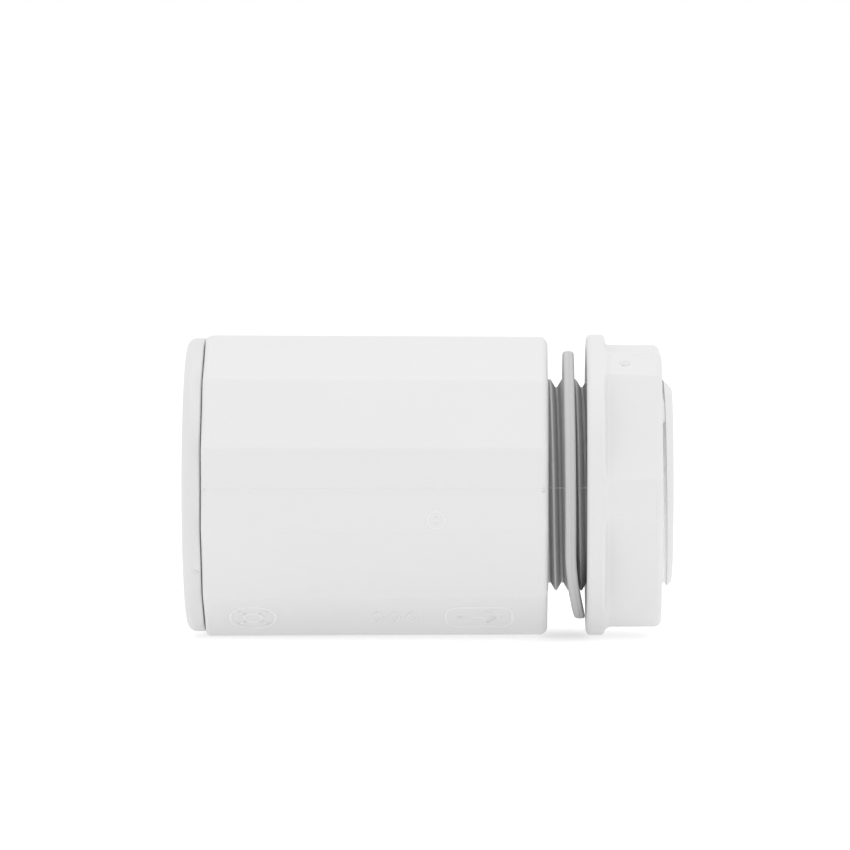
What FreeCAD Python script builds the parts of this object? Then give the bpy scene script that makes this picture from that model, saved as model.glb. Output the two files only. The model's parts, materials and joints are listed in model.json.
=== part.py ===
import FreeCAD, Part
import math
import os

# Push-fit coupling that joins a rigid round conduit to a box wall.
#
# The conduit is pushed into the open mouth at -X. A toothed collet grips it, an O-ring seals it and a ledge
# stops it. The threaded tail at +X passes through a hole in the wall, which is clamped between the barrel's
# shoulder, with a flat gasket on it, and a flanged locknut.
#
# The origin is on the axis at the shoulder. +X runs along the tail and +Z is up. Millimetres throughout.

V = FreeCAD.Vector
AXIS = V(1, 0, 0)
CENTRE = V(0, 0, 0)

# ---- conduit and socket ----
conduit_od = 25.0
conduit_play = 0.1          # radial, conduit to pilot bore
ledge_width = 2.35          # radial, pilot bore to the ledge's edge
ledge_from_shoulder = 8.0   # web between the conduit's stop and the shoulder
bore_lead = 0.4             # chamfer at each step of the bores

# ---- barrel ----
barrel_length = 40.2
barrel_sides = 12
barrel_wall = 1.9           # thinnest, over the cartridge bore
barrel_draft_deg = 0.25     # each flat, wider at the mouth
barrel_edge_r = 1.2         # along the corners between flats
mouth_edge_r = 0.6
shoulder_edge_r = 0.95
shoulder_rim = 1.55         # shoulder that shows outside the gasket

# ---- threaded tail, metric 60 degree thread ----
thread_d = 25.0
thread_pitch = 1.5
thread_depth_share = 0.6134  # of the pitch
thread_phase = 1.05         # X of a groove's middle, straight up
tail_length = 14.7
tail_chamfer = 1.1
tail_end_r = 0.6
tail_bore_edge_r = 0.2
tail_wall = 1.33            # under the thread's root
tail_collar = 0.12          # plain ring at the shoulder, where the thread dies out
tail_collar_step = 0.06     # radial, over the crests

# ---- O-ring and spacer washer ----
ring_section = 3.2
ring_bite = 0.14            # O-ring inside the conduit's surface
ring_slack = 0.05           # at the sides and outside of the O-ring
washer_thickness = 1.2
washer_edge_r = 0.15
washer_play = 0.15          # radial, to the cartridge bore

# ---- entry cap ----
cap_flange = 2.3            # thickness that shows outside the barrel
cap_step = 0.3              # the flange is this much smaller than the barrel's flats
cap_edge_r = 1.05
cap_seam = 0.12             # open seam behind the flange's rim
cap_seam_depth = 0.9
cap_spigot = 6.6
cap_spigot_play = 0.08
cap_throat = 0.35           # radial, conduit to the cap's throat
cap_throat_length = 1.9     # funnel and throat, before the taper
cap_funnel = 1.1
cap_soft_r = 0.25           # small roundings of the cap
cap_root = 0.3              # chamfer between flange and spigot
bead_height = 0.4
bead_width = 0.8
bead_from_end = 2.4
bead_lead = 2.0             # length of the bead's gentle side over its height
bead_catch = 0.1            # length of its steep side
bead_play = 0.12

# ---- gripping collet and its teeth ----
collet_play = 0.15          # radial, conduit to collet
collet_length = 5.6
collet_nose_gap = 0.6       # to the cap's throat
collet_base_gap = 1.1       # to the spacer washer
collet_base = 0.5
collet_edge = 0.15          # chamfers and roundings of the collet
taper_start_step = 0.25
taper_rise = 1.4
taper_short = 0.2           # the taper ends this far short of the collet
taper_gap = 0.12            # square to the taper
finger_count = 8
slot_width = 1.0
slot_web = 1.2              # ring that joins the fingers
tooth_width = 3.0
tooth_thickness = 0.3
tooth_bite = 0.14           # tip inside the conduit's surface
tooth_lean_deg = 25.0
tooth_length = 1.6
tooth_from_nose = 2.7

# ---- flat gasket ----
gasket_thickness = 1.3
gasket_width = 3.25
gasket_play = 0.12
gasket_gap = 2.03           # to the shoulder
gasket_edge_r = 0.3

# ---- locknut ----
nut_length = 8.8
nut_gap = 4.55              # shoulder to the nut's near face
nut_flange_thickness = 2.2
nut_flange_width = 5.3      # radial, thread crest to the flange's rim
nut_wall = 3.6              # thread crest to a flat
nut_corner_step = 0.3       # the six corners are this much inside the rim
nut_flats = 6
nut_turned_deg = 33.5       # direction of the first flat, from +Y towards +Z
nut_flat_fillet_r = 0.7
nut_rim_r = 0.65
nut_end_r = 0.8
nut_corner_r = 0.5
nut_corner_draft = 0.1      # radial, over the six corners' length
nut_dish_depth = 0.8
nut_dish_play = 0.33        # radial, gasket to the dish
nut_dish_slope = 0.4        # radial, over the dish's depth
nut_soft_r = 0.3            # small roundings of the nut
thread_play = 0.1           # square to the flanks
thread_tip_play = 0.15      # radial, at crests and roots
nut_lead = 0.35             # chamfer past the thread's groove

# ---- worked out from the sizes above ----
conduit_r = conduit_od / 2
pilot_r = conduit_r + conduit_play
ledge_r = pilot_r - ledge_width
ring_section_r = ring_section / 2
ring_centre_r = conduit_r - ring_bite + ring_section_r
cartridge_r = ring_centre_r + ring_section_r + ring_slack / 2

thread_r = thread_d / 2
thread_depth = thread_depth_share * thread_pitch
root_r = thread_r - thread_depth
tail_bore_r = root_r - tail_wall
gasket_bore_r = thread_r + gasket_play
gasket_r = gasket_bore_r + gasket_width

nut_minor_r = root_r + thread_tip_play
nut_major_r = thread_r + thread_tip_play
nut_flat_r = thread_r + nut_wall
nut_back_x = nut_gap + nut_flange_thickness
nut_far_x = nut_gap + nut_length

shoulder_apothem = max(cartridge_r + barrel_wall, gasket_r + shoulder_rim)
draft_slope = math.tan(math.radians(barrel_draft_deg))
mouth_apothem = shoulder_apothem + barrel_length * draft_slope

mouth_x = -barrel_length
ledge_x = -ledge_from_shoulder
spigot_r = cartridge_r - cap_spigot_play
spigot_end_x = mouth_x + cap_spigot
bead_x = spigot_end_x - bead_from_end
throat_end_x = mouth_x - cap_flange + cap_throat_length
collet_nose_x = throat_end_x + collet_nose_gap
collet_end_x = collet_nose_x + collet_length
taper_end_x = collet_end_x - taper_short
taper_slope = taper_rise / (taper_end_x - throat_end_x)
washer_x = collet_end_x + collet_base_gap
ring_x = washer_x + washer_thickness + ring_slack + ring_section_r
ring_seat_x = ring_x + ring_section_r + ring_slack

past = 1.0                  # how far a cutter runs past the face that it enters
thread_past = 0.1           # the same, radially, for a thread's groove
half_flank = math.tan(math.radians(30))
crest_half = thread_pitch / 16
root_half = thread_pitch / 2 - crest_half - thread_depth * half_flank


# ---- shared shapes ----
def outline(corners):
    """Closed wire through (x, z) corners in the XZ plane; a third number is that corner's radius."""
    points = [V(c[0], 0, c[1]) for c in corners]
    radii = [c[2] if len(c) > 2 else 0 for c in corners]
    count = len(points)
    ends = []
    arcs = []
    for i, here in enumerate(points):
        back = (points[i - 1] - here).normalize()
        ahead = (points[(i + 1) % count] - here).normalize()
        if radii[i] == 0:
            ends.append((here, here))
            arcs.append(None)
            continue
        half = math.acos(max(-1.0, min(1.0, back.dot(ahead)))) / 2
        reach = radii[i] / math.tan(half)
        middle = (back + ahead).normalize()
        nearest = here + middle * (radii[i] / math.sin(half) - radii[i])
        start = here + back * reach
        end = here + ahead * reach
        ends.append((start, end))
        arcs.append(Part.Arc(start, nearest, end).toShape())
    edges = []
    for i in range(count):
        if arcs[i]:
            edges.append(arcs[i])
        leave = ends[i][1]
        arrive = ends[(i + 1) % count][0]
        if leave.distanceToPoint(arrive) > 1e-6:
            edges.append(Part.LineSegment(leave, arrive).toShape())
    return Part.Wire(edges)


def turned(corners):
    """Solid of revolution about the X axis, from (x, radius) corners."""
    return Part.Face(outline(corners)).revolve(CENTRE, AXIS, 360)


def spun(shape, degrees):
    """Copy of a shape, turned about the X axis."""
    copy = shape.copy()
    copy.rotate(CENTRE, AXIS, degrees)
    return copy


def slab(corners, width):
    """Prism with an (x, z) outline, centred on the XZ plane."""
    face = Part.Face(outline(corners))
    prism = face.extrude(V(0, width, 0))
    prism.translate(V(0, -width / 2, 0))
    return prism


def helical_cutter(corners, from_x, to_x):
    """Right-hand thread groove. Corners are (offset along X from the groove's middle, radius)."""
    turns_back = math.ceil((thread_phase - from_x) / thread_pitch) + 1
    start_x = thread_phase - thread_pitch / 2 - turns_back * thread_pitch
    turns = math.ceil((to_x - start_x) / thread_pitch) + 1
    cone_deg = 0
    helix = Part.makeLongHelix(thread_pitch, turns * thread_pitch, thread_r, cone_deg)
    points = [V(radius, 0, offset) for offset, radius in corners]
    section = Part.makePolygon(points + points[:1])
    groove = Part.Wire(helix.Edges).makePipeShell([section], True, True)
    groove = Part.Solid(groove) if groove.ShapeType != "Solid" else groove
    if groove.Volume < 0:
        groove.reverse()
    groove.rotate(CENTRE, V(0, 1, 0), 90)
    groove.translate(V(start_x, 0, 0))
    return groove


def only_solid(shape):
    """The one solid that a cut or fuse leaves."""
    clean = shape.removeSplitter()
    return max(clean.Solids, key=lambda solid: solid.Volume)


# ---- barrel: many-sided body and threaded tail in one moulding ----
def many_sided_block():
    """Drafted prism with flats at top and bottom and rounded corners and ends."""
    clear_z = 2 * mouth_apothem
    block = Part.makeCylinder(clear_z, barrel_length, V(mouth_x, 0, 0), AXIS)
    outside = slab([
        (mouth_x - past, mouth_apothem + past * draft_slope), (past, shoulder_apothem - past * draft_slope),
        (past, 2 * clear_z), (mouth_x - past, 2 * clear_z),
    ], 2 * clear_z)
    block = block.cut([spun(outside, i * 360.0 / barrel_sides) for i in range(barrel_sides)])
    block = only_solid(block)
    corners = [e for e in block.Edges if e.BoundBox.XLength > barrel_length / 2]
    block = block.makeFillet(barrel_edge_r, corners)
    for x, radius in ((mouth_x, mouth_edge_r), (0.0, shoulder_edge_r)):
        rim = [e for e in block.Edges if all(abs(v.X - x) < 1e-6 for v in e.Vertexes)]
        block = block.makeFillet(radius, rim)
    return block


def threaded_tail():
    """Tube whose thread runs from the shoulder to the chamfered end."""
    blank = turned([
        (-past, tail_bore_r), (-past, thread_r), (tail_length - tail_chamfer, thread_r),
        (tail_length, thread_r - tail_chamfer, tail_end_r), (tail_length, tail_bore_r, tail_bore_edge_r),
    ])
    mouth_r = thread_r + thread_past
    mouth_half = root_half + (thread_depth + thread_past) * half_flank
    groove = helical_cutter(
        [(-root_half, root_r), (root_half, root_r), (mouth_half, mouth_r), (-mouth_half, mouth_r)],
        0.0, tail_length)
    behind_shoulder = Part.makeBox(2 * past, 2 * thread_d, 2 * thread_d, V(-2 * past, -thread_d, -thread_d))
    return only_solid(blank.cut(groove).cut(behind_shoulder))


def tail_collar_ring():
    """Plain ring where the thread meets the shoulder."""
    collar_r = thread_r + tail_collar_step
    return turned([
        (-past, tail_bore_r), (-past, collar_r), (tail_collar, collar_r), (tail_collar, tail_bore_r),
    ])


def socket_cavity():
    """Everything bored out of the barrel: cartridge bore, snap groove, pilot bore, ledge and cable way."""
    groove_r = spigot_r + bead_height + bead_play
    half = bead_width / 2 + bead_play
    return turned([
        (mouth_x - past, 0), (mouth_x - past, cartridge_r + bore_lead), (mouth_x, cartridge_r + bore_lead),
        (mouth_x + bore_lead, cartridge_r),
        (bead_x - half - bead_catch, cartridge_r), (bead_x - half, groove_r), (bead_x + half, groove_r),
        (bead_x + half + bead_lead * (groove_r - cartridge_r), cartridge_r),
        (ring_seat_x, cartridge_r, bore_lead / 2), (ring_seat_x, pilot_r + bore_lead),
        (ring_seat_x + bore_lead, pilot_r),
        (ledge_x, pilot_r), (ledge_x, ledge_r + bore_lead / 2), (ledge_x + bore_lead / 2, ledge_r),
        (ledge_x * 0.75, ledge_r), (ledge_x * 0.25, tail_bore_r),
        (tail_length + past, tail_bore_r), (tail_length + past, 0),
    ])


def barrel():
    body = many_sided_block().fuse([threaded_tail(), tail_collar_ring()])
    return only_solid(body.cut(socket_cavity()))


# ---- entry cap: round flange, snap-in spigot and the taper that closes the collet ----
def taper_r(x):
    """Radius of the cap's taper at an X position."""
    return conduit_r + cap_throat + taper_start_step + (x - throat_end_x) * taper_slope


def entry_cap():
    face_x = mouth_x - cap_flange
    rim_r = mouth_apothem - cap_step
    seam_r = rim_r - cap_seam_depth
    throat_r = conduit_r + cap_throat
    bead_r = spigot_r + bead_height
    half = bead_width / 2
    return only_solid(turned([
        (face_x, throat_r + cap_funnel, cap_soft_r), (face_x, rim_r, cap_edge_r),
        (mouth_x - cap_seam, rim_r, cap_soft_r), (mouth_x - cap_seam, seam_r),
        (mouth_x, seam_r), (mouth_x, spigot_r + cap_root), (mouth_x + cap_root, spigot_r),
        (bead_x - half - bead_catch, spigot_r), (bead_x - half, bead_r),
        (bead_x + half, bead_r), (bead_x + half + bead_lead * bead_height, spigot_r),
        (spigot_end_x, spigot_r, cap_soft_r), (spigot_end_x, taper_r(taper_end_x)),
        (taper_end_x, taper_r(taper_end_x)), (throat_end_x, taper_r(throat_end_x)),
        (throat_end_x, throat_r), (face_x + cap_funnel, throat_r, cap_soft_r),
    ]))


# ---- gripping collet: slotted wedge ring, and the steel teeth set in its fingers ----
def collet_outer_r(x):
    """The collet's taper, parallel to the cap's and a gap inside it."""
    return taper_r(x) - taper_gap / math.cos(math.atan(taper_slope))


def tooth_blank():
    """One flat tooth in the +Z finger, leaning inwards along the way the conduit goes in."""
    lean = math.radians(tooth_lean_deg)
    along = V(math.cos(lean), 0, -math.sin(lean))
    across = V(math.sin(lean), 0, math.cos(lean))
    tip_z = conduit_r - tooth_bite
    heel_x = collet_nose_x + tooth_from_nose - tooth_length * math.cos(lean)
    heel_z = tip_z + tooth_length * math.sin(lean)
    heel = V(heel_x, 0, heel_z)
    tip = heel + along * tooth_length
    back = heel + across * tooth_thickness
    bevel = tip + across * tooth_thickness - along * 2 * tooth_thickness
    corners = [heel, tip, bevel, back]
    return slab([(p.x, p.z) for p in corners], tooth_width)


def each_finger():
    """Direction of each finger's middle, in degrees about the X axis."""
    return [i * 360.0 / finger_count for i in range(finger_count)]


def collet_teeth():
    return Part.makeCompound([spun(tooth_blank(), turn) for turn in each_finger()])


def grip_collet():
    inner_r = conduit_r + collet_play
    base_r = collet_outer_r(collet_end_x - collet_base)
    ring = turned([
        (collet_nose_x, inner_r + collet_edge), (collet_nose_x, collet_outer_r(collet_nose_x)),
        (collet_end_x - collet_base, base_r), (collet_end_x, base_r, collet_edge),
        (collet_end_x, inner_r, collet_edge), (collet_nose_x + collet_edge, inner_r),
    ])
    slot_length = collet_length - slot_web
    slot_corner = V(collet_nose_x - past, -slot_width / 2, 0)
    slot = Part.makeBox(slot_length + past, slot_width, conduit_od, slot_corner)
    half_step = 180.0 / finger_count
    slots = [spun(slot, turn + half_step) for turn in each_finger()]
    tooth_seats = [spun(tooth_blank(), turn) for turn in each_finger()]
    return only_solid(ring.cut(slots + tooth_seats))


# ---- spacer washer and O-ring ----
def spacer_washer():
    outer_r = cartridge_r - washer_play
    inner_r = conduit_r + cap_throat
    end_x = washer_x + washer_thickness
    return turned([
        (washer_x, inner_r, washer_edge_r), (washer_x, outer_r, washer_edge_r),
        (end_x, outer_r, washer_edge_r), (end_x, inner_r, washer_edge_r),
    ])


def socket_o_ring():
    return Part.makeTorus(ring_centre_r, ring_section_r, V(ring_x, 0, 0), AXIS)


# ---- flat gasket, loose on the tail ----
def flat_gasket():
    near_x = gasket_gap
    far_x = gasket_gap + gasket_thickness
    return turned([
        (near_x, gasket_bore_r, gasket_edge_r), (near_x, gasket_r, gasket_edge_r),
        (far_x, gasket_r, gasket_edge_r), (far_x, gasket_bore_r, gasket_edge_r),
    ])


# ---- locknut: dished flange, six flats and the tail's thread ----
def nut_blank():
    """The nut before its flats and thread are cut."""
    rim_r = thread_r + nut_flange_width
    corner_r = rim_r - nut_corner_step
    dish_r = gasket_r + nut_dish_play
    lead_r = nut_major_r + nut_lead
    lead_length = lead_r - nut_minor_r
    dish_x = nut_gap + nut_dish_depth
    return turned([
        (dish_x, lead_r), (dish_x, dish_r, nut_soft_r), (nut_gap, dish_r + nut_dish_slope, nut_soft_r / 2),
        (nut_gap, rim_r, nut_rim_r), (nut_back_x, rim_r, nut_rim_r),
        (nut_back_x + 2 * nut_corner_step, corner_r, nut_soft_r),
        (nut_far_x, corner_r - nut_corner_draft, nut_end_r), (nut_far_x, lead_r, nut_soft_r / 2),
        (nut_far_x - lead_length, nut_minor_r), (dish_x + lead_length, nut_minor_r),
    ])


def flat_cutter():
    """Cuts one flat on the +Z side, with a fillet up to the flange and a rounded far end."""
    clear_z = thread_r + 2 * nut_flange_width
    below_z = nut_flat_r - 2 * nut_end_r
    return slab([
        (nut_back_x, clear_z), (nut_back_x, nut_flat_r, nut_flat_fillet_r),
        (nut_far_x, nut_flat_r, nut_end_r), (nut_far_x, below_z),
        (nut_far_x + past, below_z), (nut_far_x + past, clear_z),
    ], 2 * thread_d)


def nut_thread():
    """Groove of the nut's thread, half a turn from the tail's groove."""
    side_play = thread_play / math.cos(math.radians(30))
    half_pitch = thread_pitch / 2
    ridge_half_minor = root_half + thread_tip_play * half_flank - side_play
    ridge_half_major = root_half + (thread_depth + thread_tip_play) * half_flank - side_play
    mouth_r = nut_minor_r - thread_past
    mouth_half = half_pitch - ridge_half_minor + thread_past * half_flank
    floor_half = half_pitch - ridge_half_major
    return helical_cutter(
        [(half_pitch - mouth_half, mouth_r), (half_pitch + mouth_half, mouth_r),
         (half_pitch + floor_half, nut_major_r), (half_pitch - floor_half, nut_major_r)],
        nut_gap, nut_far_x)


def locknut():
    flats = [spun(flat_cutter(), nut_turned_deg - 90 + i * 360.0 / nut_flats) for i in range(nut_flats)]
    nut = only_solid(nut_blank().cut(flats))
    corners = []
    for edge in nut.Edges:
        nearest = min(V(0, vertex.Y, vertex.Z).Length for vertex in edge.Vertexes)
        if nearest > nut_flat_r and edge.BoundBox.XLength > nut_length / 2:
            corners.append(edge)
    nut = nut.makeFillet(nut_corner_r, corners)
    return only_solid(nut.cut(nut_thread()))


PARTS = {
    "barrel": barrel,
    "entry_cap": entry_cap,
    "grip_collet": grip_collet,
    "collet_teeth": collet_teeth,
    "spacer_washer": spacer_washer,
    "socket_o_ring": socket_o_ring,
    "flat_gasket": flat_gasket,
    "locknut": locknut,
}

os.makedirs("parts", exist_ok=True)
for name, make in PARTS.items():
    shape = make()
    shape.exportStep(f"parts/{name}.step")
    print(f"{name}: valid {shape.isValid()}, solids {len(shape.Solids)}, volume {shape.Volume:.1f} mm3")
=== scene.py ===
import json
import math
import random

import bpy
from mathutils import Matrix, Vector
from mathutils.bvhtree import BVHTree


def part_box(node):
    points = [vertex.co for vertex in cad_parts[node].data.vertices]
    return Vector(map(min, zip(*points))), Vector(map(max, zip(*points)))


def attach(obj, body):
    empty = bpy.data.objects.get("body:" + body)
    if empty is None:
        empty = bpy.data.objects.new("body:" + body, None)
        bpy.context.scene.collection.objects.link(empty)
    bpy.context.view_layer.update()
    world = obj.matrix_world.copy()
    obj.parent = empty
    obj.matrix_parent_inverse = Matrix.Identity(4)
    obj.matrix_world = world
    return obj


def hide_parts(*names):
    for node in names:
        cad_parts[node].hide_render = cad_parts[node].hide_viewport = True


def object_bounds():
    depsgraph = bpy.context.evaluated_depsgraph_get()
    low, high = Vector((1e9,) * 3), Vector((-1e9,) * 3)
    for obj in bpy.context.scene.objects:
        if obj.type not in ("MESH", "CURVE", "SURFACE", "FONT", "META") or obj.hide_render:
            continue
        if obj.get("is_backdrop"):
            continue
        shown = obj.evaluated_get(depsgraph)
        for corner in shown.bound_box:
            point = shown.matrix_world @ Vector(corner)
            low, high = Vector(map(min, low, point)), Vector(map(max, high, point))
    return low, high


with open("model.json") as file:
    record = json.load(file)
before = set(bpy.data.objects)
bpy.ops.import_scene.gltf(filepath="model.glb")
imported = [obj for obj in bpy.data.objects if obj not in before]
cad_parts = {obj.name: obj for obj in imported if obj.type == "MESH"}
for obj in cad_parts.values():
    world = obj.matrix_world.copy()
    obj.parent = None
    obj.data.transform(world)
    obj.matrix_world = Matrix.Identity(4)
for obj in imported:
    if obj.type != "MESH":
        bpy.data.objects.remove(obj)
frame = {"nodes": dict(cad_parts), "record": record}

cad_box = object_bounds()

# ---- Barrel ----
# Twelve-sided body and threaded tail in one shot of white PVC. The two halves of the tool meet along the
# front and back flats, and leave a fine line of flash there. The maker's marks stand proud of the flats.
mm = 0.001


class Value:
    """A shader socket that adds, subtracts and multiplies as a number does."""

    def __init__(self, finish, socket):
        self.finish = finish
        self.socket = socket

    def _sum(self, operation, first, second):
        return self.finish.node("ShaderNodeMath", {"operation": operation}, {0: first, 1: second})

    def __add__(self, other):
        return self._sum("ADD", self, other)

    __radd__ = __add__

    def __sub__(self, other):
        return self._sum("SUBTRACT", self, other)

    def __rsub__(self, other):
        return self._sum("SUBTRACT", other, self)

    def __mul__(self, other):
        return self._sum("MULTIPLY", self, other)

    __rmul__ = __mul__


class Finish:
    """One surface finish: a material, its shader, and the nodes that vary it over the surface."""

    def __init__(self, name, **constants):
        self.material = bpy.data.materials.new(name)
        self.material.use_nodes = True
        self.tree = self.material.node_tree
        self.shader = self.tree.nodes["Principled BSDF"]
        for socket, value in constants.items():
            self.shader.inputs[socket.replace("_", " ")].default_value = value
        self.place = self.node("ShaderNodeTexCoord", output="Object")

    def node(self, kind, settings={}, sockets={}, output=0):
        """Adds a node, with its settings made first and then its sockets filled or linked."""
        node = self.tree.nodes.new(kind)
        for setting, value in settings.items():
            if setting == "stops":
                ramp = node.color_ramp.elements
                ramp[0].position, ramp[1].position = value[0][0], value[-1][0]
                ramp[0].color = (*[value[0][1]] * 3, 1)
                ramp[1].color = (*[value[-1][1]] * 3, 1)
            else:
                setattr(node, setting, value)
        for socket, value in sockets.items():
            if isinstance(value, Value):
                self.tree.links.new(value.socket, node.inputs[socket])
            else:
                node.inputs[socket].default_value = value
        return Value(self, node.outputs[output])

    def noise(self, size, detail=2.0, distortion=0.0, stretch=(1, 1, 1)):
        """Soft random pattern whose lumps are about that size, in metres."""
        stretched = self.node("ShaderNodeMapping", {}, {"Vector": self.place, "Scale": stretch})
        return self.node("ShaderNodeTexNoise", {}, {
            "Vector": stretched, "Scale": 1 / size, "Detail": detail, "Distortion": distortion,
        })

    def ramp(self, value, low, high):
        """0 below low, 1 above high, and smooth between."""
        return self.node("ShaderNodeValToRGB", {"stops": [(low, 0.0), (high, 1.0)]}, {"Fac": value})

    def blend(self, factor, first, second):
        """A colour between two colours, each a tuple or a Value."""
        ends = [end if isinstance(end, Value) else (*end, 1) for end in (first, second)]
        return self.node("ShaderNodeMix", {"data_type": "RGBA"}, {
            "Factor": factor, "A": ends[0], "B": ends[1],
        }, output="Result")

    def feed(self, socket, value):
        self.tree.links.new(value.socket, self.shader.inputs[socket])

    def bump(self, height, depth):
        """Relief of that depth, in metres, from a height that runs from 0 to 1."""
        relief = self.node("ShaderNodeBump", {}, {"Height": height, "Distance": depth, "Strength": 1.0})
        self.feed("Normal", relief)


def moulded_white(name, bright, dull, painted_shading=None):
    """White PVC from a spark-eroded tool: faint flow marks, a fine grain, a soft shine, and perhaps painted
    shade and light laid over its colour.
    """
    finish = Finish(name, IOR=1.53)
    flow = finish.noise(14 * mm, detail=3, distortion=0.8, stretch=(0.5, 1, 1))
    specks = finish.ramp(finish.noise(0.9 * mm, detail=1), 0.72, 0.8)
    colour = finish.blend(flow * 0.8 + specks * 0.3, bright, dull)
    if painted_shading:
        colour = painted_shading(finish, colour)
    finish.feed("Base Color", colour)
    skin = finish.noise(2.2 * mm, detail=2)
    grain = finish.noise(0.16 * mm, detail=1)
    finish.feed("Roughness", 0.36 + skin * 0.12 + specks * 0.1)
    finish.bump(skin * 0.6 + grain * 0.4, 0.012 * mm)
    return finish


def dress(node, finish):
    """Gives a CAD part its finish."""
    for slot in frame["nodes"][node].material_slots:
        slot.material = finish.material


def new_piece(name, points, faces, finish, slot, body, smooth=True):
    """A mesh piece that moves with a body."""
    mesh = bpy.data.meshes.new(name)
    mesh.from_pydata(points, [], faces)
    mesh.validate()
    mesh.materials.append(finish.material)
    mesh.polygons.foreach_set("use_smooth", [smooth] * len(mesh.polygons))
    piece = bpy.data.objects.new(name, mesh)
    bpy.context.scene.collection.objects.link(piece)
    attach(piece, body)
    return piece


thread_crest_r = 12.5 * mm
thread_end_x = 13.5 * mm
last_groove_x = 13 * mm


def thread_painted_shade_and_light(finish, colour):
    """Painted shade in the roots of the thread's grooves, where shade falls between shoulder and nut, and
    painted light on the last groove, painted paler because its thin ridge lets light in.
    """
    x, y, z = [finish.node("ShaderNodeSeparateXYZ", {}, {"Vector": finish.place}, output=i) for i in range(3)]
    crest_share = (y * y + z * z) * (1 / thread_crest_r ** 2)
    in_groove = 1 - finish.ramp(crest_share, 0.9, 0.995)
    along = x * (1 / thread_end_x)
    on_thread = finish.ramp(along, 0.005, 0.03) * (1 - finish.ramp(along, 0.9, 0.94))
    patches = 0.85 + finish.noise(1.5 * mm, detail=3) * 0.3
    outside = finish.ramp(crest_share, 0.78, 0.8)
    # Painted shade: the grooves between shoulder and nut are painted towards dark grey, in uneven patches.
    painted_groove_shade = finish.blend(in_groove * on_thread * outside * patches * 0.75, colour, (0.30, 0.298, 0.295))
    # On the end's chamfer x and the radius add up to one sum, and in the groove under it to less.
    radius_share = finish.node("ShaderNodeMath", {"operation": "SQRT"}, {0: crest_share})
    under_chamfer = 1 - finish.ramp(radius_share + x * (1 / thread_crest_r) - 1.5, 0.575, 0.583)
    past_nut = (x - last_groove_x) * (1 / (2 * mm))
    at_end = finish.ramp(past_nut, 0.05, 0.12) * (1 - finish.ramp(past_nut, 0.46, 0.5))
    # Painted light: the last groove past the nut is painted nearly white.
    return finish.blend(in_groove * outside * under_chamfer * at_end, painted_groove_shade, (0.97, 0.96, 0.96))


# The barrel's thread gets painted shade in its grooves and painted light on its last groove.
barrel_white = moulded_white("barrel_white", (0.705, 0.705, 0.705), (0.68, 0.68, 0.685), thread_painted_shade_and_light)
dress("barrel", barrel_white)
# Painted highlight: the marks and the flash on the thread are painted paler than the barrel.
mark_painted_highlight = moulded_white("mark_painted_highlight", (0.75, 0.75, 0.75), (0.725, 0.725, 0.73))

mouth_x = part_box("barrel")[0].x
shoulder_x = 0.0
cap_rim_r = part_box("entry_cap")[1].z
flat = next(mount for mount in frame["record"]["mounts"] if mount["name"] == "barrel_rest")
flat_slope = flat["axis"][0] / flat["axis"][2]


def flat_distance(x):
    """From the axis to the middle of a flat."""
    return -flat["pos_m"][2] + (x - flat["pos_m"][0]) * flat_slope


def on_flat(angle, x, across, proud=0.0):
    """Point on a flat whose middle is at that angle above the front, in degrees."""
    turn = math.radians(angle)
    outward = Vector((0, -math.cos(turn), math.sin(turn)))
    along = Vector((0, math.sin(turn), math.cos(turn)))
    return Vector((x, 0, 0)) + outward * (flat_distance(x) + proud) + along * across


ROUNDED = ((-0.42, 0.55), (-0.2, 0.92), (0, 1), (0.2, 0.92), (0.42, 0.55))
LIPPED = ((-0.2, 0.35), (0.1, 0.7), (0.34, 1), (0.42, 0.9), (0.47, 0.5))


def rib(path, surface, width, height, closed=False, form=ROUNDED):
    """Points and faces of a rib along (x, across) points on a surface; a third number scales its height."""
    sunk = 0.05 * mm
    section = [(-0.5, -sunk), *((share, rise * height) for share, rise in form), (0.5, -sunk)]
    count = len(path)
    points = []
    for i, (x, across, *scale) in enumerate(path):
        back = path[(i - 1) % count] if closed or i else path[0]
        ahead = path[(i + 1) % count] if closed or i < count - 1 else path[-1]
        way = Vector((ahead[0] - back[0], ahead[1] - back[1])).normalized()
        side = Vector((-way.y, way.x))
        size = scale[0] if scale else 1.0
        for offset, proud in section:
            move = side * offset * width
            rise = proud * size if proud > 0 else proud
            points.append(surface(x + move.x, across + move.y, rise))
    row = len(section)
    faces = []
    for i in range(count if closed else count - 1):
        here = i * row
        there = ((i + 1) % count) * row
        faces += [(here + k, there + k, there + k + 1, here + k + 1) for k in range(row - 1)]
        faces.append((here + row - 1, there + row - 1, there, here))
    if not closed:
        faces.append(tuple(range(row)))
        faces.append(tuple(reversed(range((count - 1) * row, count * row))))
    return points, faces


def joined(shapes):
    """Points and faces of several shapes as one."""
    points, faces = [], []
    for more_points, more_faces in shapes:
        start = len(points)
        points += more_points
        faces += [tuple(start + i for i in face) for face in more_faces]
    return points, faces


def flash_line(seed, start, end, nick=None):
    """Path of a line of flash: nearly straight, with uneven height and perhaps a nick where it tore."""
    uneven = random.Random(seed)
    steps = 90
    path = []
    for i in range(steps + 1):
        x = start + (end - start) * i / steps
        height = 0.75 + 0.25 * uneven.random()
        if nick and abs(x - nick) < 0.5 * mm:
            height = 1.9
        wander = 0.012 * mm * math.sin(x / (3.1 * mm)) + 0.006 * mm * uneven.uniform(-1, 1)
        path.append((x, wander, height))
    return path


for side, angle, seed, nick in (("front", 0, 3, -26 * mm), ("back", 180, 8, None)):
    path = flash_line(seed, mouth_x + 0.35 * mm, shoulder_x - 0.4 * mm, nick)
    points, faces = rib(path, lambda x, t, h, a=angle: on_flat(a, x, t, h),
                        width=0.42 * mm, height=0.035 * mm, form=LIPPED)
    new_piece("parting_line_" + side, points, faces, barrel_white, "white_plastic", "barrel")


barrel_tree = BVHTree.FromObject(frame["nodes"]["barrel"], bpy.context.evaluated_depsgraph_get())


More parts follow.
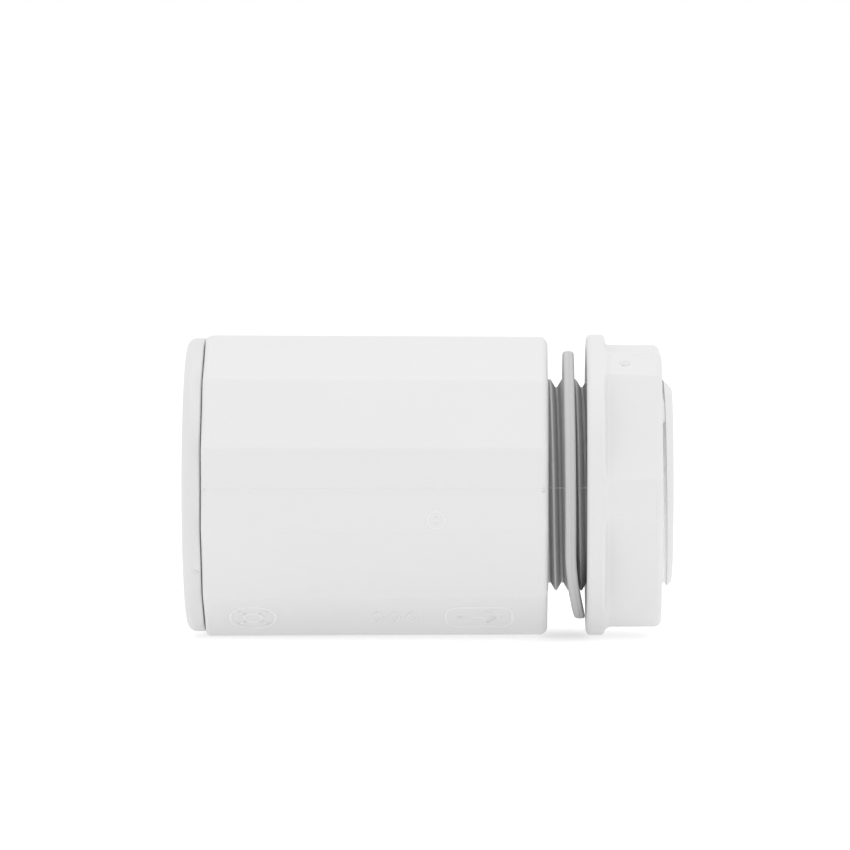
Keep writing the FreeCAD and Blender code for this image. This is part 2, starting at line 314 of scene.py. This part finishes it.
def on_thread(angle, x, across, proud):
    """Point on the tail's outside at that angle above the front, in degrees."""
    turn = math.radians(angle)
    outward = Vector((0, -math.cos(turn), math.sin(turn)))
    along = Vector((0, math.sin(turn), math.cos(turn)))
    start = Vector((x, 0, 0)) + outward * 2 * thread_crest_r
    hit = barrel_tree.ray_cast(start, -outward)[0]
    return Vector((x, 0, 0)) + outward * (outward.dot(hit) + proud) + along * across


# The flash lines across the thread use the paler mark finish, a painted highlight.
for side, angle in (("front", 0.3), ("back", 179.7)):
    steps = 260
    path = [(0.2 * mm + (thread_end_x - 0.2 * mm) * i / steps, 0) for i in range(steps + 1)]
    points, faces = rib(path, lambda x, t, h, a=angle: on_thread(a, x, t, h),
                        width=0.11 * mm, height=0.035 * mm)
    new_piece("thread_flash_" + side, points, faces, mark_painted_highlight, "white_plastic", "barrel")


def ring_path(x, across, radius, steps=40):
    """Closed round path on a flat."""
    turns = [2 * math.pi * i / steps for i in range(steps)]
    return [(x + radius * math.cos(t), across + radius * math.sin(t)) for t in turns]


def rounded_box_path(x, across, length, height, corner):
    """Closed path round a box with rounded corners, on a flat."""
    path = []
    for quarter, (sx, sy) in enumerate(((1, 1), (-1, 1), (-1, -1), (1, -1))):
        cx = x + sx * (length / 2 - corner)
        cy = across + sy * (height / 2 - corner)
        for step in range(6):
            turn = math.radians(90 * quarter + 18 * step)
            path.append((cx + corner * math.cos(turn), cy + corner * math.sin(turn)))
    return path


def mark(name, angle, lines, width=0.5 * mm, height=0.08 * mm):
    """A raised mark on a flat, drawn with (closed, path) lines. It is painted paler than the flats, a painted
    highlight for the light its ridges catch.
    """
    def surface(x, across, proud):
        return on_flat(angle, x, across, proud)
    shape = joined([rib(path, surface, width, height, closed) for closed, path in lines])
    new_piece(name, *shape, mark_painted_highlight, "white_plastic", "barrel")


cavity_x, cavity_across = -12.95 * mm, -3.5 * mm
mark("cavity_mark", 0, [
    (True, ring_path(cavity_x, cavity_across, 1.0 * mm)),
    (False, [(cavity_x, cavity_across + 0.45 * mm), (cavity_x, cavity_across - 0.45 * mm)]),
], width=0.24 * mm, height=0.04 * mm)

lower_front = -60
dial_x = -34.5 * mm
dial_lines = [(True, ring_path(dial_x, 0, 2.7 * mm, 64)), (True, ring_path(dial_x, 0, 1.0 * mm, 32))]
for i in range(4):
    turn = math.radians(45 + 90 * i)
    reach = [(dial_x + r * math.cos(turn), r * math.sin(turn)) for r in (1.35 * mm, 2.35 * mm)]
    dial_lines.append((False, reach))
mark("mould_dial_mark", lower_front, dial_lines)

diamond_half, diamond_reach, diamond_step = 0.65 * mm, 1.25 * mm, 2.05 * mm
diamonds = []
for i in range(3):
    x = -17.9 * mm + (i - 1) * diamond_step
    corners = [(x + diamond_half, 0), (x, diamond_reach), (x - diamond_half, 0), (x, -diamond_reach)]
    diamonds.append((True, corners))
mark("batch_mark", lower_front, diamonds, width=0.4 * mm)

arrow_x = -8.0 * mm
mark("push_way_mark", lower_front, [
    (True, rounded_box_path(arrow_x, 0, 7.8 * mm, 5.0 * mm, 1.7 * mm)),
    (False, [(arrow_x - 2.5 * mm, 0), (arrow_x + 2.2 * mm, 0)]),
    (False, [(arrow_x + 0.9 * mm, 1.4 * mm), (arrow_x + 2.4 * mm, 0), (arrow_x + 0.9 * mm, -1.4 * mm)]),
])

# ---- Socket O-ring ----
# Black rubber ring in the barrel's step, wiped with silicone grease. It seals on the conduit.
# The oil gives it patches of shine.
ring_rubber = Finish("greased_rubber", IOR=1.5)
grease = ring_rubber.ramp(ring_rubber.noise(4 * mm, detail=3), 0.42, 0.6)
ring_rubber.feed("Base Color", ring_rubber.blend(grease, (0.022, 0.022, 0.023), (0.012, 0.012, 0.013)))
ring_rubber.feed("Roughness", 0.62 - grease * 0.4)
ring_rubber.bump(ring_rubber.noise(0.3 * mm, detail=2), 0.01 * mm)
dress("socket_o_ring", ring_rubber)

# ---- Spacer washer ----
# Flat white ring, dropped in on the O-ring to keep the collet off it.
dress("spacer_washer", moulded_white("washer_white", (0.74, 0.74, 0.735), (0.71, 0.71, 0.705)))

# ---- Grip collet and its teeth ----
# Slotted ring of grey acetal whose fingers close on the conduit as it is pulled back into the cap's taper.
# Each finger holds one stamped and blued stainless tooth, moulded in.
acetal = Finish("grey_acetal", IOR=1.48)
streaks = acetal.noise(3 * mm, detail=3, stretch=(0.3, 1, 1))
acetal.feed("Base Color", acetal.blend(streaks, (0.50, 0.51, 0.53), (0.56, 0.57, 0.58)))
acetal.feed("Roughness", 0.42 + streaks * 0.15)
acetal.bump(acetal.noise(0.2 * mm, detail=2), 0.008 * mm)
dress("grip_collet", acetal)

tooth_steel = Finish("stamped_steel", IOR=2.5, Metallic=1.0)
drawn = tooth_steel.noise(0.25 * mm, detail=3, stretch=(0.15, 1, 1))
tooth_steel.feed("Base Color", tooth_steel.blend(drawn, (0.58, 0.58, 0.58), (0.72, 0.71, 0.70)))
tooth_steel.feed("Roughness", 0.24 + drawn * 0.2)
tooth_steel.bump(drawn, 0.004 * mm)
dress("collet_teeth", tooth_steel)

# ---- Entry cap ----
# Round flanged ring, moulded apart in a slightly warmer white and snapped into the mouth for good.
# Its gate was sheared off at the rim and left a small torn stub.
cap_white = moulded_white("cap_white", (0.68, 0.671, 0.674), (0.655, 0.646, 0.649))
dress("entry_cap", cap_white)


def torn_stub(name, centre, outward, radius, height, seed, finish, slot, body):
    """The low crater and torn tip that a sheared gate leaves."""
    uneven = random.Random(seed)
    outward = outward.normalized()
    first = outward.orthogonal().normalized()
    second = outward.cross(first)
    around = 18
    sunk = -0.08 * mm
    rings = ((1.0, sunk), (0.92, 0.35 * height), (0.78, 0.6 * height), (0.6, 0.45 * height),
             (0.42, 0.55 * height), (0.3, 0.95 * height), (0.14, height))
    points = []
    for share, rise in rings:
        for i in range(around):
            turn = 2 * math.pi * i / around
            reach = radius * share * uneven.uniform(0.9, 1.08)
            lift = rise * uneven.uniform(0.75, 1.0) if rise > 0 else rise
            sideways = first * math.cos(turn) + second * math.sin(turn)
            points.append(centre + sideways * reach + outward * lift)
    points.append(centre + outward * height * 0.9)
    faces = []
    for level in range(len(rings) - 1):
        for i in range(around):
            j = (i + 1) % around
            low, high = level * around, (level + 1) * around
            faces.append((low + i, low + j, high + j, high + i))
    top = (len(rings) - 1) * around
    faces += [(top + i, top + (i + 1) % around, len(points) - 1) for i in range(around)]
    faces.append(tuple(reversed(range(around))))
    return new_piece(name, points, faces, finish, slot, body)


def around_axis(x, radius, angle):
    """Point at that radius from the axis, at that angle above the front, in degrees."""
    turn = math.radians(angle)
    return Vector((x, -radius * math.cos(turn), radius * math.sin(turn)))


cap_stub_x = mouth_x - 0.75 * mm
cap_stub_turn = -34
stub_at = around_axis(cap_stub_x, cap_rim_r, cap_stub_turn)
torn_stub("cap_gate_stub", stub_at, around_axis(0, 1, cap_stub_turn), 0.34 * mm, 0.13 * mm, 5,
          cap_white, "warm_white_plastic", "barrel")

# ---- Flat gasket ----
# Thin ring of light grey thermoplastic rubber, pressed over the thread by hand. It sits a little askew,
# curls towards the nut at the bottom, and has a fine line of flash round its edge.
gasket_rubber = Finish("grey_gasket", IOR=1.5)
cloud = gasket_rubber.noise(5 * mm, detail=4)
dust = gasket_rubber.ramp(gasket_rubber.noise(0.5 * mm, detail=2), 0.62, 0.75)
rubber_greys = ((0.55, 0.55, 0.555), (0.58, 0.58, 0.585))
gasket_rubber.feed("Base Color", gasket_rubber.blend(cloud * 0.7 + dust * 0.3, *rubber_greys))
gasket_rubber.feed("Roughness", 0.62 + cloud * 0.15)
gasket_rubber.bump(cloud * 0.3 + gasket_rubber.noise(0.15 * mm, detail=2) * 0.7, 0.02 * mm)

gasket_low, gasket_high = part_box("flat_gasket")
gasket_x = (gasket_low.x + gasket_high.x) / 2 - 0.08 * mm
gasket_half = (gasket_high.x - gasket_low.x) / 2
gasket_outer_r = gasket_high.z
gasket_inner_r = 12.60 * mm
gasket_lean = math.radians(0.5)
curl_from_z = 7.5 * mm
curl_reach = 1.2 * mm
edge_r = 0.35 * mm


def gasket_section():
    """(x, radius) corners round the section, soft at the edges, with flash round the outside."""
    flash = 0.05 * mm
    outer_r = gasket_outer_r - flash
    points = []
    side_x, rim_r, bore_r = gasket_half - edge_r, outer_r - edge_r, gasket_inner_r + edge_r
    corners = ((side_x, rim_r, 0), (-side_x, rim_r, 90), (-side_x, bore_r, 180), (side_x, bore_r, 270))
    for cx, cr, start in corners:
        for step in range(5):
            turn = math.radians(start + 22.5 * step)
            points.append((cx + edge_r * math.cos(turn), cr + edge_r * math.sin(turn)))
        if start == 0:
            points += [(0.07 * mm, outer_r), (0, outer_r + flash), (-0.07 * mm, outer_r)]
        if start in (90, 270):
            last_x = points[-1][0]
            toward = 1 if start == 90 else -1
            for share in (0.25, 0.5, 0.75):
                foot = rim_r if toward == 1 else bore_r
                points.append((last_x, foot - toward * share * (rim_r - bore_r)))
    return points


section = gasket_section()
turns = 240
points = []
for i in range(turns):
    turn = 2 * math.pi * i / turns
    wave = 0.03 * mm * math.sin(2 * turn + 0.7) + 0.02 * mm * math.sin(3 * turn + 2.0)
    for x, radius in section:
        z = radius * math.sin(turn)
        lean = -z * math.tan(gasket_lean)
        curl = curl_reach * max(0.0, (-z - curl_from_z) / (gasket_outer_r - curl_from_z)) ** 1.7
        points.append((gasket_x + x + wave + lean + curl, -radius * math.cos(turn), z))
row = len(section)
faces = []
for i in range(turns):
    here, there = i * row, (i + 1) % turns * row
    faces += [(here + k, here + (k + 1) % row, there + (k + 1) % row, there + k) for k in range(row)]
gasket = new_piece("soft_gasket", points, faces, gasket_rubber, "gasket_rubber", "gasket")
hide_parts("flat_gasket")

# ---- Locknut ----
# Flanged six-sided nut in the cap's warmer white, run on by hand. Its gate was sheared off one corner,
# and a small pip on the end face tells the fitter which way it goes on.
nut_white = moulded_white("nut_white", (0.705, 0.701, 0.703), (0.68, 0.677, 0.68))
dress("locknut", nut_white)

nut_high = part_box("locknut")[1]
nut_corner_r = nut_high.z - 0.34 * mm
nut_stub_x = 9.0 * mm
nut_stub_turn = 56.5
stub_at = around_axis(nut_stub_x, nut_corner_r, nut_stub_turn)
torn_stub("nut_gate_stub", stub_at, around_axis(0, 1, nut_stub_turn), 0.6 * mm, 0.2 * mm, 11,
          nut_white, "warm_white_plastic", "locknut")

pip_turn = 38.5
pip_r = 14.3 * mm


def on_nut_end(x, across, proud):
    """Point on the nut's end face, near the pip."""
    outward = around_axis(0, 1, pip_turn)
    sideways = around_axis(0, 1, pip_turn + 90)
    return Vector((nut_high.x + proud, 0, 0)) + outward * (pip_r + x) + sideways * across


pip_path = [(0, -1.45 * mm, 0.6), (0, -1.2 * mm), (0, 1.1 * mm), (0, 2.6 * mm, 0.05)]
points, faces = rib(pip_path, on_nut_end, width=1.0 * mm, height=0.25 * mm)
new_piece("nut_pip", points, faces, nut_white, "warm_white_plastic", "locknut")

# ---- Floor, lights and camera ----
# Pale matt sheet, lit a little from below, in a white room. One broad soft light hangs overhead, and one
# stands off each end, so that the round ends are bright and little light falls into the gap at the thread.
floor_finish = Finish("pale_floor", Emission_Strength=0.55)
floor_cloud = floor_finish.noise(300 * mm, detail=2)
floor_finish.feed("Base Color", floor_finish.blend(floor_cloud, (0.56, 0.56, 0.56), (0.53, 0.53, 0.53)))
floor_finish.feed("Roughness", 0.9 + floor_cloud * 0.05)
floor_finish.shader.inputs["Emission Color"].default_value = (1, 1, 1, 1)
floor_reach = 6.0
floor_z = cad_box[0][2] - 0.02 * mm
floor_mesh = bpy.data.meshes.new("pale_floor")
floor_corners = [(-floor_reach, -floor_reach, floor_z), (floor_reach, -floor_reach, floor_z),
                 (floor_reach, floor_reach, floor_z), (-floor_reach, floor_reach, floor_z)]
floor_mesh.from_pydata(floor_corners, [], [(0, 1, 2, 3)])
floor_mesh.materials.append(floor_finish.material)
floor = bpy.data.objects.new("pale_floor", floor_mesh)
bpy.context.scene.collection.objects.link(floor)
floor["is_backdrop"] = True

room = bpy.data.worlds.new("pale_room")
room.use_nodes = True
room.node_tree.nodes["Background"].inputs["Color"].default_value = (1, 1, 1, 1)
room.node_tree.nodes["Background"].inputs["Strength"].default_value = 1.0
bpy.context.scene.world = room
bpy.context.scene.view_settings.view_transform = "Standard"


def soft_light(name, place, aim, size, power):
    """A square studio light that points at a spot."""
    lamp = bpy.data.lights.new(name, "AREA")
    lamp.shape = "SQUARE"
    lamp.size = size
    lamp.energy = power
    holder = bpy.data.objects.new(name, lamp)
    bpy.context.scene.collection.objects.link(holder)
    holder.location = place
    holder.rotation_euler = (Vector(aim) - Vector(place)).to_track_quat("-Z", "Y").to_euler()


middle = Vector(((cad_box[0][0] + cad_box[1][0]) / 2, 0, 0))
soft_light("top_light", middle + Vector((0.05, -0.1, 0.9)), middle, 0.9, 1.75)
soft_light("left_light", middle + Vector((-0.9, -0.15, 0.3)), middle, 0.6, 0.4)
soft_light("right_light", middle + Vector((0.9, -0.15, 0.3)), middle, 0.6, 0.35)

view_distance = 746 * mm
camera_data = bpy.data.cameras.new("camera")
camera_data.sensor_width = 36
camera_data.lens = 267
camera_data.clip_start = 0.05
camera_data.clip_end = 50
camera = bpy.data.objects.new("camera", camera_data)
bpy.context.scene.collection.objects.link(camera)
aim = Vector((-14.47 * mm, 0, 7.07 * mm))
to_the_right = 10.4 * mm
eye_height = 27.3 * mm
camera.location = (aim.x + to_the_right, -view_distance, eye_height)
camera.rotation_euler = (aim - camera.location).to_track_quat("-Z", "Y").to_euler()
bpy.context.scene.camera = camera

visual_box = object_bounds()
boxes = {"cad": cad_box, "visual": visual_box}
{name: [list(corner) for corner in box] for name, box in boxes.items()}
